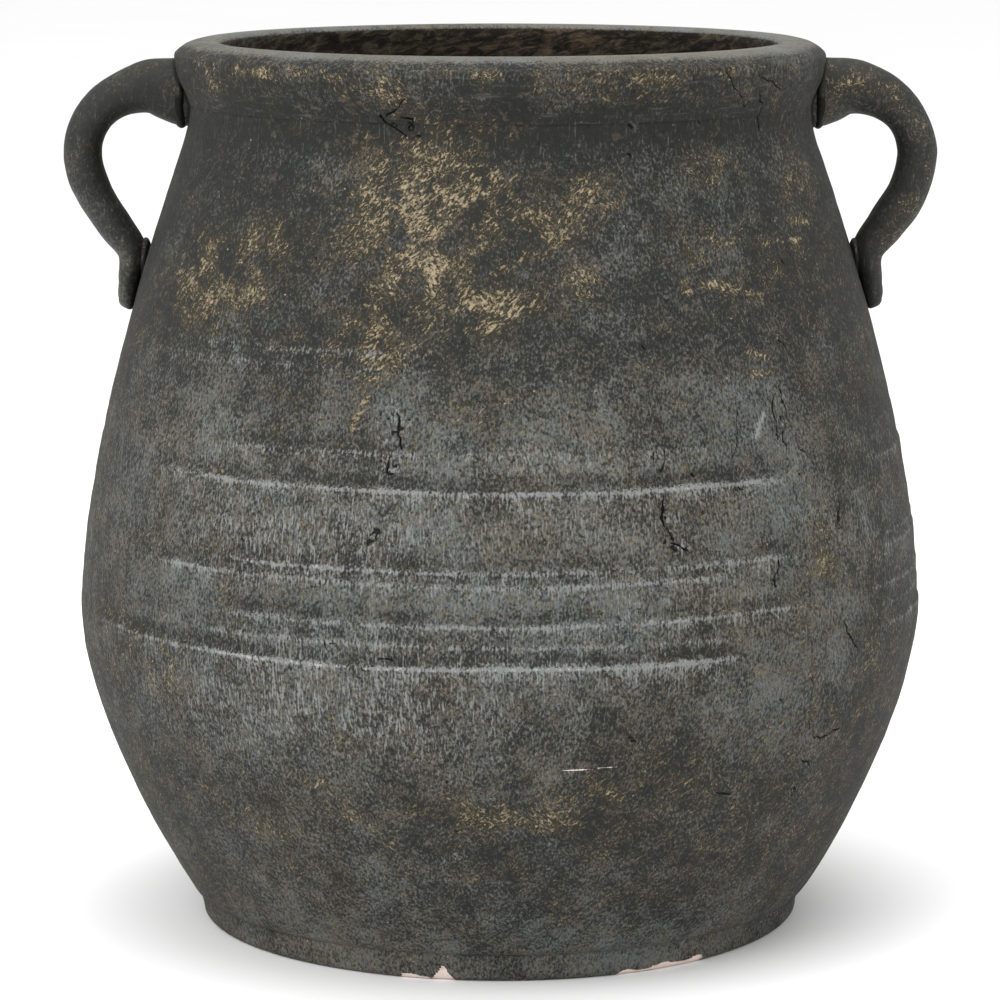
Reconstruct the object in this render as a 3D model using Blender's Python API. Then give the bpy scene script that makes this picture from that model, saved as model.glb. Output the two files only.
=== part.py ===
"""Black clay pot with a thick rim collar and two small loop handles.

Built as the potter builds it: a floor slab, a wall raised in three sections,
a collar for the rim, two pulled coil handles and the soft clay that lutes
each handle to the pot. Metres, +Z up, floor at z = 0, pot axis on Z.
"""
import math

import bmesh
import bpy
from mathutils import Vector

# Whole pot
RIM_HEIGHT = 0.300
FOOT_RADIUS = 0.0995
BELLY_RADIUS = 0.1434
BELLY_HEIGHT = 0.107
NECK_RADIUS = 0.1046
NECK_HEIGHT = 0.279
SHOULDER_CONE_RADIUS = 0.1018
NECK_BLEND = 0.0018
LOWER_CURVE = 1.6
UPPER_CURVE = 1.58
WALL = 0.0090

# Joints between the pieces of clay
JOINT_GAP = 0.0003
SCARF_RISE = 0.0040
SCARF_GAP = 0.00034
GUIDE_OUT = 0.00038
GUIDE_ABOVE_RIM = 0.010
LOWER_JOINT = 0.112
UPPER_JOINT = 0.1666
SLAB_THICKNESS = 0.0090
SLAB_EDGE_RADIUS = 0.1040
SLAB_FOOT_RADIUS = 0.1028
SLAB_FOOT_ROUND = 0.0020
SLAB_EDGE_BREAK = 0.0012
WALL_FOOT_ROUND = 0.0022

# Rim collar
COLLAR_RIDGE_RADIUS = 0.1100
COLLAR_RIDGE_HEIGHT = 0.2945
COLLAR_MOUTH_RADIUS = 0.0937
LIP_OUTER_RADIUS = 0.1022
LIP_INNER_RADIUS = 0.0962
LIP_ROUND = 0.0030
LIP_DROP = 0.0005
LIP_EDGE = (0.1058, 0.2990)
RIDGE_TOP = (0.1091, 0.2967)
COLLAR_FACE = (0.1088, 0.2880)
COLLAR_TOE = (0.1062, 0.2822)

# Handles, measured out from the pot axis and up from the floor
HANDLE_ROOT = (0.1000, 0.2822)
HANDLE_LEAVES_COLLAR = (0.1195, 0.2836)
HANDLE_SHOULDER = (0.1310, 0.2796)
HANDLE_TOP_TURN = (0.1385, 0.2720)
HANDLE_REACH = (0.1415, 0.2615)
HANDLE_TURN_IN = (0.1385, 0.2490)
HANDLE_SLANT = (0.1310, 0.2370)
HANDLE_KINK = (0.1258, 0.2285)
HANDLE_TAIL = (0.1262, 0.2200)
HANDLE_TAIL_END = (0.1265, 0.2125)
HANDLE_TIP = (0.1268, 0.2080)

# Half thickness and half width of the handle coil along its length
COIL_HALF = (0.0065, 0.0078)
ROOT_HALF = (0.0110, 0.0110)
LEAVING_HALF = (0.0089, 0.0093)
SHOULDER_HALF = (0.0073, 0.0082)
SLANT_HALF = (0.0057, 0.0083)
KINK_HALF = (0.0047, 0.0088)
TAIL_HALF = (0.0038, 0.0092)
TAIL_END_HALF = (0.0035, 0.0083)
TIP_HALF = (0.0020, 0.0056)

# Luting clay
ROOT_LUTE_CENTRE = (0.1082, 0.2824)
ROOT_LUTE_HALF = (0.0056, 0.0132, 0.0126)
TAIL_LUTE_CENTRE = (0.1212, 0.2255)
TAIL_LUTE_HALF = (0.0040, 0.0110, 0.0120)

# Fineness
SIDES = 64
LOWER_SPANS = 8
BELLY_SPANS = 4
SHOULDER_SPANS = 7
FOOT_ARC_SPANS = 3
LIP_ARC_SPANS = 2
LIP_ARC_START = 180.0
LIP_ARC_END = 110.0
COIL_SIDES = 12
STATIONS_PER_SPAN = 2
LUTE_ROUND = 16
LUTE_DOWN = 9
SHARP_ANGLE = 40.0
MERGE_DISTANCE = 0.00001
GUIDE_GROWTH = 0.000345
TAU = 2.0 * math.pi


def clear_scene():
    for item in list(bpy.data.objects):
        bpy.data.objects.remove(item, do_unlink=True)


def clay(name, colour, roughness):
    """Fired clay: a plain rough Principled material."""
    material = bpy.data.materials.new(name)
    material.use_nodes = True
    shader = material.node_tree.nodes["Principled BSDF"]
    shader.inputs["Base Color"].default_value = (*colour, 1.0)
    shader.inputs["Roughness"].default_value = roughness
    shader.inputs["Metallic"].default_value = 0.0
    material.diffuse_color = (*colour, 1.0)
    return material


def slab_clay():
    return clay("slab_clay", (0.070, 0.067, 0.058), 0.80)


def lower_wall_clay():
    return clay("lower_wall_clay", (0.108, 0.105, 0.094), 0.74)


def belly_wall_clay():
    return clay("belly_wall_clay", (0.128, 0.128, 0.114), 0.74)


def shoulder_wall_clay():
    return clay("shoulder_wall_clay", (0.098, 0.092, 0.074), 0.70)


def collar_clay():
    return clay("collar_clay", (0.060, 0.061, 0.053), 0.66)


def handle_clay(side_name):
    return clay("handle_clay_" + side_name, (0.050, 0.050, 0.043), 0.66)


def luting_clay(name):
    return clay(name, (0.115, 0.110, 0.082), 0.80)


def outer_radius(height):
    """Radius of the outside of the wall at one height."""
    if height <= BELLY_HEIGHT:
        share = (BELLY_HEIGHT - height) / BELLY_HEIGHT
        return BELLY_RADIUS - (BELLY_RADIUS - FOOT_RADIUS) * share ** LOWER_CURVE
    share = (height - BELLY_HEIGHT) / (NECK_HEIGHT - BELLY_HEIGHT)
    cone = BELLY_RADIUS - (BELLY_RADIUS - SHOULDER_CONE_RADIUS) * share ** UPPER_CURVE
    over = cone - NECK_RADIUS
    return NECK_RADIUS + 0.5 * (over + math.hypot(over, NECK_BLEND))


def inner_radius(height):
    return outer_radius(height) - WALL


def heights(start, end, spans):
    return [start + (end - start) * step / spans for step in range(spans + 1)]


def arc(centre_radius, centre_height, radius, start, end, spans):
    """Points of a circular arc in the radius-height plane, angles in degrees."""
    points = []
    for step in range(spans + 1):
        angle = math.radians(start + (end - start) * step / spans)
        points.append((centre_radius + radius * math.cos(angle),
                       centre_height + radius * math.sin(angle)))
    return points


def finish_object(name, bm, material):
    bmesh.ops.recalc_face_normals(bm, faces=bm.faces)
    mesh = bpy.data.meshes.new(name)
    bm.to_mesh(mesh)
    bm.free()
    mesh.materials.append(material)
    mesh.shade_smooth()
    mesh.set_sharp_from_angle(angle=math.radians(SHARP_ANGLE))
    body = bpy.data.objects.new(name, mesh)
    bpy.context.scene.collection.objects.link(body)
    return body


def turned(name, outline, material, reaches_axis=False):
    """Spin an outline, top to bottom down its outer side, round the pot axis."""
    bm = bmesh.new()
    verts = [bm.verts.new((radius, 0.0, height)) for radius, height in outline]
    edges = [bm.edges.new(pair) for pair in zip(verts, verts[1:])]
    if not reaches_axis:
        edges.append(bm.edges.new((verts[-1], verts[0])))
    bmesh.ops.spin(bm, geom=verts + edges, cent=(0, 0, 0), axis=(0, 0, 1),
                   angle=TAU, steps=SIDES, use_merge=True)
    bmesh.ops.remove_doubles(bm, verts=bm.verts, dist=MERGE_DISTANCE)
    return finish_object(name, bm, material)


def wall_section(name, bottom, top, bottom_rise, spans, material, foot_round=0.0):
    """One raised ring of wall; its joint faces slope up towards the inside."""
    outline = [(outer_radius(z), z) for z in heights(top, bottom + foot_round, spans)]
    if foot_round > 0.0:
        outline.append((outer_radius(bottom) - 0.5 * foot_round, bottom))
    inner_bottom = bottom + bottom_rise
    inner_top = top + SCARF_RISE
    outline += [(inner_radius(z), z) for z in heights(inner_bottom, inner_top, spans - 1)]
    return turned(name, outline, material)


def build_base_slab():
    """Rolled floor slab with a softened top edge and a rounded foot."""
    outline = [(0.0, SLAB_THICKNESS), (SLAB_EDGE_RADIUS - SLAB_EDGE_BREAK, SLAB_THICKNESS)]
    outline.append((SLAB_EDGE_RADIUS, SLAB_THICKNESS - SLAB_EDGE_BREAK))
    outline += arc(SLAB_FOOT_RADIUS - SLAB_FOOT_ROUND, SLAB_FOOT_ROUND, SLAB_FOOT_ROUND,
                   0.0, -90.0, FOOT_ARC_SPANS)
    outline.append((0.0, 0.0))
    return turned("base_slab", outline, slab_clay(), reaches_axis=True)


def build_lower_wall():
    return wall_section("lower_wall", SLAB_THICKNESS + JOINT_GAP, LOWER_JOINT,
                        0.0, LOWER_SPANS, lower_wall_clay(), WALL_FOOT_ROUND)


def build_belly_wall():
    return wall_section("belly_wall", LOWER_JOINT + SCARF_GAP, UPPER_JOINT,
                        SCARF_RISE, BELLY_SPANS, belly_wall_clay())


def build_shoulder_wall():
    return wall_section("shoulder_wall", UPPER_JOINT + SCARF_GAP, NECK_HEIGHT,
                        SCARF_RISE, SHOULDER_SPANS, shoulder_wall_clay())


def build_rim_collar():
    """Thick coil: creased at the neck, ridged outside, with a narrow flat lip."""
    crease = NECK_HEIGHT + SCARF_GAP
    outline = [(LIP_INNER_RADIUS, RIM_HEIGHT), (LIP_OUTER_RADIUS, RIM_HEIGHT)]
    outline += [LIP_EDGE, RIDGE_TOP, (COLLAR_RIDGE_RADIUS, COLLAR_RIDGE_HEIGHT)]
    outline += [COLLAR_FACE, COLLAR_TOE, (outer_radius(NECK_HEIGHT), crease)]
    outline += [(inner_radius(NECK_HEIGHT), crease + SCARF_RISE)]
    outline += arc(COLLAR_MOUTH_RADIUS + LIP_ROUND, RIM_HEIGHT - LIP_ROUND - LIP_DROP,
                   LIP_ROUND, LIP_ARC_START, LIP_ARC_END, LIP_ARC_SPANS)
    return turned("rim_collar", outline, collar_clay())


def clearance_core():
    """Hidden guide: the outside of the pot, one joint gap larger all round."""
    top = RIM_HEIGHT + GUIDE_ABOVE_RIM
    side = [LIP_EDGE, RIDGE_TOP, (COLLAR_RIDGE_RADIUS, COLLAR_RIDGE_HEIGHT), COLLAR_FACE, COLLAR_TOE]
    side += [(outer_radius(NECK_HEIGHT), NECK_HEIGHT + SCARF_GAP)]
    side += [(outer_radius(z), z)
             for z in heights(NECK_HEIGHT, UPPER_JOINT + SCARF_GAP, SHOULDER_SPANS)]
    outline = [(0.0, top), (LIP_EDGE[0] + GUIDE_OUT, top)]
    outline += [(radius + GUIDE_OUT, height) for radius, height in side]
    outline += [(0.0, UPPER_JOINT + SCARF_GAP)]
    return cutter("clearance_core", turned("clearance_core", outline, luting_clay("guide"),
                                           reaches_axis=True))


def cutter(name, body):
    body.name = name
    body.hide_render = True
    body.display_type = "WIRE"
    return body


def cut_away(body, guide, label):
    step = body.modifiers.new(label, "BOOLEAN")
    step.operation = "DIFFERENCE"
    step.solver = "EXACT"
    step.object = guide


def curve_through(points, spans):
    """Smooth path through the points (Catmull-Rom), spans steps between each pair."""
    path = []
    count = len(points)
    for index in range(count - 1):
        before = points[max(index - 1, 0)]
        start = points[index]
        end = points[index + 1]
        after = points[min(index + 2, count - 1)]
        for step in range(spans):
            t = step / spans
            path.append(0.5 * (2.0 * start + (end - before) * t
                               + (2.0 * before - 5.0 * start + 4.0 * end - after) * t * t
                               + (3.0 * start - before - 3.0 * end + after) * t ** 3))
    path.append(points[-1])
    return path


def handle_stations(grow):
    """Centre line and half sizes of the pulled coil, from the collar to the tail tip.

    Centres are Vectors (out, up); sizes are Vectors (half thickness, half width).
    """
    plan = [
        (HANDLE_ROOT, ROOT_HALF),
        (HANDLE_LEAVES_COLLAR, LEAVING_HALF),
        (HANDLE_SHOULDER, SHOULDER_HALF),
        (HANDLE_TOP_TURN, COIL_HALF),
        (HANDLE_REACH, COIL_HALF),
        (HANDLE_TURN_IN, COIL_HALF),
        (HANDLE_SLANT, SLANT_HALF),
        (HANDLE_KINK, KINK_HALF),
        (HANDLE_TAIL, TAIL_HALF),
        (HANDLE_TAIL_END, TAIL_END_HALF),
        (HANDLE_TIP, TIP_HALF),
    ]
    centres = [Vector((out, up, 0.0)) for (out, up), _ in plan]
    sizes = [Vector((thick + grow, wide + grow, 0.0)) for _, (thick, wide) in plan]
    return curve_through(centres, STATIONS_PER_SPAN), curve_through(sizes, STATIONS_PER_SPAN)


def swept_handle(name, side, grow, material):
    """Sweep an oval section along the handle path on one side (+1 right, -1 left)."""
    centres, sizes = handle_stations(grow)
    if grow > 0.0:
        centres[-1] = centres[-1] + Vector((0.0, -grow, 0.0))
    bm = bmesh.new()
    rings = []
    last = len(centres) - 1
    for index, centre in enumerate(centres):
        along = centres[min(index + 1, last)] - centres[max(index - 1, 0)]
        along.normalize()
        out = Vector((-along.y, along.x, 0.0))
        ring = []
        for corner in range(COIL_SIDES):
            angle = TAU * (corner + 0.5) / COIL_SIDES
            point = centre + out * (sizes[index].x * math.cos(angle))
            across = sizes[index].y * math.sin(angle)
            ring.append(bm.verts.new((side * point.x, across, point.y)))
        rings.append(ring)
    for ring, following in zip(rings, rings[1:]):
        for corner in range(COIL_SIDES):
            neighbour = (corner + 1) % COIL_SIDES
            bm.faces.new((ring[corner], ring[neighbour], following[neighbour], following[corner]))
    bm.faces.new(rings[0])
    bm.faces.new(rings[-1])
    return finish_object(name, bm, material)


def build_handle(side_name, side, core):
    """The pulled coil, cut where it sits on the pot; returns its guide for the lutes."""
    name = "handle_" + side_name
    body = swept_handle(name, side, 0.0, handle_clay(side_name))
    cut_away(body, core, "seat on the pot")
    guide = swept_handle(name + "_guide", side, GUIDE_GROWTH, luting_clay("guide_" + side_name))
    return cutter(name + "_guide", guide)


def build_lute(name, side, centre, half, guides):
    """A wad of soft clay, shaped by the pot wall and the handle it holds."""
    bm = bmesh.new()
    bmesh.ops.create_uvsphere(bm, u_segments=LUTE_ROUND, v_segments=LUTE_DOWN, radius=1.0)
    bmesh.ops.scale(bm, vec=half, verts=bm.verts)
    bmesh.ops.translate(bm, vec=(side * centre[0], 0.0, centre[1]), verts=bm.verts)
    body = finish_object(name, bm, luting_clay(name + "_clay"))
    for guide in guides:
        cut_away(body, guide, "shaped by " + guide.name)


def build_side(side_name, side, core):
    handle_guide = build_handle(side_name, side, core)
    build_lute("root_lute_" + side_name, side, ROOT_LUTE_CENTRE, ROOT_LUTE_HALF,
               (core, handle_guide))
    build_lute("tail_lute_" + side_name, side, TAIL_LUTE_CENTRE, TAIL_LUTE_HALF,
               (core, handle_guide))


def main():
    clear_scene()
    build_base_slab()
    build_lower_wall()
    build_belly_wall()
    build_shoulder_wall()
    build_rim_collar()
    core = clearance_core()
    build_side("left", -1, core)
    build_side("right", 1, core)


main()
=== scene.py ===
import functools
import itertools
import math
from collections import namedtuple

import bmesh
import bpy
import numpy as np
from bpy.props import FloatProperty, FloatVectorProperty, PointerProperty
from mathutils import Matrix, Vector


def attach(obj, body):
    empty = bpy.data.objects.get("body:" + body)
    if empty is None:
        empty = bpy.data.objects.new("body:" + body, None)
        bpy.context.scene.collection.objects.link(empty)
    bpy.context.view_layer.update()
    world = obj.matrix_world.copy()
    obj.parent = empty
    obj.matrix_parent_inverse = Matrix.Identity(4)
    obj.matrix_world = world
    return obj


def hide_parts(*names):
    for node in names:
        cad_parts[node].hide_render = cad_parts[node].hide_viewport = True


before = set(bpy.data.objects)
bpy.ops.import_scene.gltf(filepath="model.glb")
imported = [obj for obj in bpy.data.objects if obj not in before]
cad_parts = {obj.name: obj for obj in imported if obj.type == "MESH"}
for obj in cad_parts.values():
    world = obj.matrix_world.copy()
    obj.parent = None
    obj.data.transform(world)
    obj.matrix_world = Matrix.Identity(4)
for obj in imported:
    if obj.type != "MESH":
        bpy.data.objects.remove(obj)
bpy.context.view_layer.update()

bl_info = {
    "name": "Black Clay Pot",
    "version": (1, 0, 0),
    "blender": (4, 5, 0),
    "location": "View3D > Sidebar > Clay Pot",
    "description": "Builds a two-handled black clay pot, piece by piece, the way it is made",
    "category": "Add Mesh",
}

# The pot's outline, in metres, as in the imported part
FOOT_RADIUS = 0.0995
BELLY_RADIUS = 0.1434
BELLY_HEIGHT = 0.107
NECK_RADIUS = 0.1046
NECK_HEIGHT = 0.279
SHOULDER_CONE_RADIUS = 0.1018
NECK_BLEND = 0.0018
LOWER_CURVE = 1.6
UPPER_CURVE = 1.58
WALL = 0.009
SCARF_RISE = 0.004
LOWER_JOINT = 0.112
UPPER_JOINT = 0.1666
SLAB_TOP = 0.009
SLAB_EDGE_RADIUS = 0.104
SLAB_FOOT_RADIUS = 0.1028
SLAB_UNDER_RADIUS = 0.1012
FOOT_INSET = 0.0012

# Trimmed foot edge of the slab, from its step down to the floor
FOOT_EDGE = ((0.104, 0.0084), (0.1039, 0.0078), (0.1038, 0.007), (0.1036, 0.0062),
             (0.1034, 0.0054), (0.1032, 0.0046), (0.103, 0.0038), (0.1029, 0.003),
             (0.1028, 0.0022), (0.1026, 0.0014), (0.1021, 0.0007), (0.1014, 0.0002), (0.1006, 0.0))

# Collar, from the neck crease over the ridge to the mouth
COLLAR_OUTSIDE = ((0.1052, 0.279), (0.1062, 0.2822), (0.1088, 0.288), (0.11, 0.2945),
                  (0.1091, 0.2967), (0.1058, 0.299), (0.1022, 0.3))
COLLAR_INSIDE = ((0.0962, 0.3), (0.0943, 0.2988), (0.0937, 0.2965), (0.0941, 0.292),
                 (0.0951, 0.2875), (0.0962, 0.283))

MOUTH_HEIGHT = 0.3
LIP_LAND = (0.0968, 0.1016)
LIP_ROW = 0.0006

# Handle centre line (out from the axis, up) and half sizes (thickness, width)
HANDLE_PLAN = (
    ((0.1, 0.2824), (0.012, 0.0114)),
    ((0.108, 0.2826), (0.0115, 0.011)),
    ((0.1195, 0.284), (0.0091, 0.0094)),
    ((0.131, 0.2798), (0.0073, 0.0083)),
    ((0.1385, 0.272), (0.0065, 0.0078)),
    ((0.1415, 0.2615), (0.0065, 0.0078)),
    ((0.1385, 0.249), (0.0064, 0.0078)),
    ((0.1309, 0.237), (0.006, 0.0083)),
    ((0.1254, 0.2285), (0.0053, 0.0088)),
    ((0.1262, 0.22), (0.0042, 0.0092)),
    ((0.1267, 0.2145), (0.0041, 0.0086)),
    ((0.1268, 0.2125), (0.0038, 0.0078)),
)
TAIL_TIP = 0.0042
ROOT_LUTE_CENTRE = (0.1078, 0.2824)
ROOT_LUTE_HALF = (0.0036, 0.0124, 0.0122)
TAIL_LUTE_CENTRE = (0.1206, 0.224)
TAIL_LUTE_HALF = (0.0022, 0.0084, 0.0086)

# Meshing
TAU = 2.0 * math.pi
COLUMNS = 720
FRONT_CROWDING = 0.3
ROW = 0.0016
FINE_ROW = 0.00042
FINE_BAND = 0.0016
INNER_ROW = 0.007
STROKE_HALF_WIDTH = 0.0012
GROUND_MIDDLE = 0.555
DAMAGE_CUTS = 3
DAMAGE_REACH = 3.0

# Marks on the wall: angles in degrees round from the front, to the right; heights in metres
Ring = namedtuple("Ring", "height depth left right resumes")
Crack = namedtuple("Crack", "width depth points")
Patch = namedtuple("Patch", "angle height half_angle half_height strength")

RINGS = [Ring(*row) for row in (
    (0.209, 0.0001, -62, -10, 120), (0.204, 0.0001, -62, -10, 120), (0.178, 0.00016, -39, 30, 65),
    (0.1666, 0.0006, -51, 42, 63), (0.142, 0.00036, -37, 41, 60), (0.138, 0.00034, -52, 33, 60),
    (0.1256, 0.00032, -38, 42, 58), (0.119, 0.00024, -43, 30, 58), (0.112, 0.00062, -66, 31, 60),
)]

# Each group of cracks: width, depth, then the lines they follow
CRACKS = [Crack(width, depth, line) for width, depth, lines in (
    (0.0007, 0.0009, (((-20.9, 0.2814), (-19.0, 0.278), (-16.5, 0.2752), (-13.8, 0.275)),)),
    (0.0006, 0.0008, (((-17.4, 0.2813), (-14.9, 0.2803), (-15.7, 0.2769)),
        ((47.1, 0.0802), (48.7, 0.0784), (50.5, 0.0792), (52.8, 0.0804)))),
    (0.0006, 0.0006, (((-16.1, 0.2871), (-18.0, 0.2836), (-19.4, 0.2815)),
        ((-17.3, 0.1525), (-16.5, 0.1545), (-16.2, 0.1507)),
        ((-15.4, 0.1143), (-14.8, 0.1119)), ((22.8, 0.1777), (22.1, 0.1714)),
        ((21.6, 0.1778), (21.0, 0.1739)), ((45.1, 0.2088), (46.5, 0.2066)),
        ((43.7, 0.1632), (43.2, 0.158)), ((52.8, 0.1566), (51.8, 0.1487)))),
    (0.0005, 0.0007, (((40.9, 0.2947), (43.1, 0.2894), (45.0, 0.2872), (48.0, 0.2828)),
        ((45.7, 0.0869), (46.2, 0.0831)))),
    (0.0005, 0.0006, (((49.3, 0.2923), (53.2, 0.2902), (56.9, 0.2867)),
        ((50.4, 0.2863), (52.7, 0.2823), (52.8, 0.2754)),
        ((49.3, 0.0869), (48.8, 0.0835)),
        ((29.6, 0.0672), (30.7, 0.0665), (34.1, 0.0643)))),
    (0.001, 0.0009, (((-14.5, 0.1903), (-14.0, 0.1839), (-13.4, 0.1794)),)),
    (0.0012, 0.001, (((-15.0, 0.1767), (-14.8, 0.1716)),)),
    (0.0005, 0.0005, (((-23.1, 0.1191), (-22.2, 0.1159)),
        ((35.4, 0.1882), (34.4, 0.1778), (32.9, 0.1735)))),
    (0.0009, 0.001, (((22.1, 0.1642), (21.6, 0.1571), (22.6, 0.1517), (22.9, 0.1498)),)),
    (0.001, 0.0011, (((22.9, 0.1492), (24.3, 0.1482), (24.9, 0.1468)),)),
    (0.0006, 0.0007, (((44.2, 0.1964), (43.6, 0.1912), (44.3, 0.1857)),
        ((42.9, 0.1807), (42.9, 0.1747)),
        ((45.6, 0.1774), (45.7, 0.1744), (46.7, 0.1728)),
        ((51.2, 0.1168), (52.8, 0.1114), (54.1, 0.1074)),
        ((44.5, 0.103), (45.4, 0.0985), (45.4, 0.0928)),
        ((46.4, 0.072), (47.9, 0.0699)))),
    (0.0007, 0.0008, (((41.8, 0.1929), (41.9, 0.1875), (41.8, 0.1823), (42.0, 0.1782)),
        ((39.3, 0.1403), (38.0, 0.1326)))),
    (0.0007, 0.0007, (((46.6, 0.0615), (45.9, 0.0603)),)),
    (0.0004, 0.0004, (((16.8, 0.0894), (18.1, 0.0863)),)),
) for line in lines]

TORN = [Patch(*row) for row in (
    (-14.6, 0.187, 2.6, 0.0065, 1.0), (-14.8, 0.174, 1.8, 0.004, 1.0),
    (-16.6, 0.152, 1.4, 0.003, 0.9), (-14.9, 0.113, 1.6, 0.0026, 0.9),
    (-22.6, 0.117, 1.2, 0.0022, 0.8), (22.6, 0.155, 1.8, 0.0062, 1.0),
    (24.2, 0.1478, 1.6, 0.0022, 1.0), (25.4, 0.136, 1.2, 0.003, 0.7),
    (-17.0, 0.278, 2.4, 0.0026, 1.0), (34.0, 0.1645, 1.4, 0.0022, 0.9),
    (42.8, 0.185, 2.4, 0.012, 0.6), (46.0, 0.16, 4.0, 0.016, 0.5), (50.0, 0.15, 3.0, 0.014, 0.5),
    (39.5, 0.144, 2.4, 0.003, 0.6), (48.0, 0.095, 5.0, 0.018, 0.45), (46.5, 0.061, 2.0, 0.003, 0.8),
    (17.5, 0.088, 1.0, 0.0016, 0.9), (-6.8, 0.0745, 0.9, 0.0018, 0.8),
    (-6.4, 0.0476, 1.0, 0.0014, 0.8), (10.0, 0.098, 1.2, 0.0016, 0.7),
)]

SCRATCH = ((8.3, 0.0781), (12.0, 0.0783), (16.3, 0.0788))

CHIP_ANGLE = -10.5
CHIP_HALF_ANGLE = 2.2
CHIP_HEIGHT = 0.0054

# Faint hollow worn round the lower left side
HOLLOW = ((-56, 0.076), (-46, 0.064), (-38, 0.0585), (-28, 0.0565))

PITS = ((37.4, 0.2786), (50.1, 0.2331), (23.3, 0.2785), (22.7, 0.2693), (34.0, 0.1649),
        (21.0, 0.2104), (26.8, 0.1703), (-36.3, 0.1484), (39.5, 0.0956), (52.5, 0.2753))

OCHRE_PATCHES = [Patch(*row) for row in (
    (-43, 0.2942, 15, 0.0022, 1.0), (-19, 0.2915, 3.5, 0.005, 1.0), (-5, 0.295, 14, 0.0016, 0.75),
    (20, 0.2925, 14, 0.004, 0.65), (24, 0.2875, 10, 0.002, 0.5), (45, 0.294, 12, 0.002, 0.55),
    (-60, 0.29, 4, 0.006, 0.6), (110, 0.2945, 25, 0.002, 0.8), (-150, 0.2945, 25, 0.002, 0.8),
    (-11, 0.2695, 10, 0.0012, 0.7), (-12, 0.252, 13, 0.022, 0.85), (-11, 0.234, 8, 0.01, 1.0),
    (-3, 0.261, 6, 0.009, 0.8), (-19, 0.213, 6, 0.014, 0.75), (-2, 0.224, 9, 0.009, 0.8),
    (-43, 0.231, 6, 0.013, 0.85), (-52, 0.226, 8, 0.013, 0.85), (7, 0.247, 6, 0.008, 0.75),
    (16, 0.257, 7, 0.006, 0.6), (12, 0.231, 4, 0.006, 0.65), (40, 0.263, 6, 0.005, 0.7),
    (62, 0.255, 8, 0.009, 0.55), (36, 0.241, 13, 0.006, 0.45), (52, 0.232, 9, 0.01, 0.4),
    (4, 0.064, 12, 0.007, 0.7), (15, 0.07, 8, 0.006, 0.45), (47, 0.14, 5, 0.013, 0.55),
    (-20, 0.06, 6, 0.006, 0.4), (-24, 0.069, 9, 0.007, 0.42), (-50, 0.103, 8, 0.012, 0.46),
    (-36, 0.054, 6, 0.008, 0.42), (-30, 0.094, 10, 0.012, 0.3), (-2, 0.19, 16, 0.01, 0.3),
    (-60, 0.11, 14, 0.03, 0.32), (48, 0.095, 18, 0.03, 0.36), (150, 0.235, 24, 0.02, 0.8),
    (-140, 0.215, 20, 0.018, 0.7), (100, 0.195, 14, 0.016, 0.6), (-165, 0.07, 20, 0.012, 0.55),
)]

OCHRE_STROKES = (
    ((45.3, 0.2463), (52.7, 0.2455), (61.0, 0.2436)),
    ((46.2, 0.2381), (51.1, 0.2387), (57.3, 0.2389)),
    ((30.8, 0.2344), (33.9, 0.235), (37.2, 0.2352)),
    ((29.3, 0.2257), (31.6, 0.227), (34.8, 0.2279), (37.1, 0.2279)),
    ((28.8, 0.2287), (32.7, 0.2304)),
    ((36.2, 0.2261), (40.2, 0.2255), (43.7, 0.2224)),
    ((36.5, 0.1994), (42.7, 0.1989)),
    ((37.9, 0.2061), (42.5, 0.204)),
    ((-20.7, 0.1847), (-20.2, 0.1893), (-18.7, 0.1947)),
)

PALE_STROKES = (
    ((39.9, 0.1865), (38.8, 0.1836), (37.7, 0.1798)),
)

PALE_PATCHES = [Patch(*row) for row in (
    (-26, 0.152, 26, 0.012, 0.8), (-22, 0.097, 26, 0.018, 0.85), (8, 0.156, 24, 0.01, 0.55),
    (-45, 0.175, 18, 0.012, 0.45), (20, 0.13, 18, 0.01, 0.4), (6, 0.176, 20, 0.006, 0.45),
    (62, 0.15, 10, 0.02, 0.45), (140, 0.14, 40, 0.022, 0.6), (-130, 0.11, 34, 0.02, 0.6),
)]


# How light the clay is by height, partly dust and partly painted light and shade: lighter at the
# foot, darker low on the wall, darkest in the neck crease under the collar; then painted shade round
# the sides, more or less round the front and darkest on the right
TONE_BY_HEIGHT = ((0.0, 0.72), (0.01, 0.72), (0.03, 0.56), (0.06, 0.53), (0.1, 0.63), (0.13, 0.69),
                  (0.17, 0.65), (0.19, 0.56), (0.21, 0.42), (0.24, 0.35), (0.268, 0.3),
                  (0.279, -0.2), (0.284, 0.2), (0.296, 0.5))
PAINTED_SHADE_BY_ANGLE = ((-90.0, -0.16), (-60.0, -0.05), (-20.0, 0.05), (35.0, 0.06), (50.0, 0.0),
                 (62.0, -0.14), (90.0, -0.24))

# Places a little lighter in tone
LIGHTER_PLACES = [Patch(*row) for row in (
    (-28, 0.09, 16, 0.024, 0.1), (-45, 0.18, 18, 0.026, 0.1), (40, 0.235, 16, 0.03, 0.09),
    (32, 0.15, 12, 0.04, 0.07),
)]


# Studio: each lamp's name, place, size across and power; the camera's place, aim and lens
LAMPS = (
    ("key_light", (-1.5, -1.6, 2.0), 2.4, 37.0),
    ("top_light", (0.2, -0.2, 2.4), 2.0, 28.0),
)
LAMP_AIM = Vector((0.0, 0.0, 0.15))
CAMERA_PLACE = Vector((0.0, -1.48, 0.383))
CAMERA_AIM = Vector((0.0, 0.0, 0.142375))
CAMERA_LENS = 157.12
DAYLIGHT = 1.03
FLOOR_HALF = 12.0
FLOOR_SHADES = ((0.92, 0.92, 0.92), (0.95, 0.95, 0.95))

# ---------------------------------------------------------------- shapes in numbers

def smooth_step(low, high, value):
    """0 at low, 1 at high, smooth between; low may be the larger."""
    share = np.clip((value - low) / (high - low), 0.0, 1.0)
    return share * share * (3.0 - 2.0 * share)


def window(value, start, full, last, end):
    """0 up to start, 1 from full to last, 0 again from end."""
    return smooth_step(start, full, value) * smooth_step(end, last, value)


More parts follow.
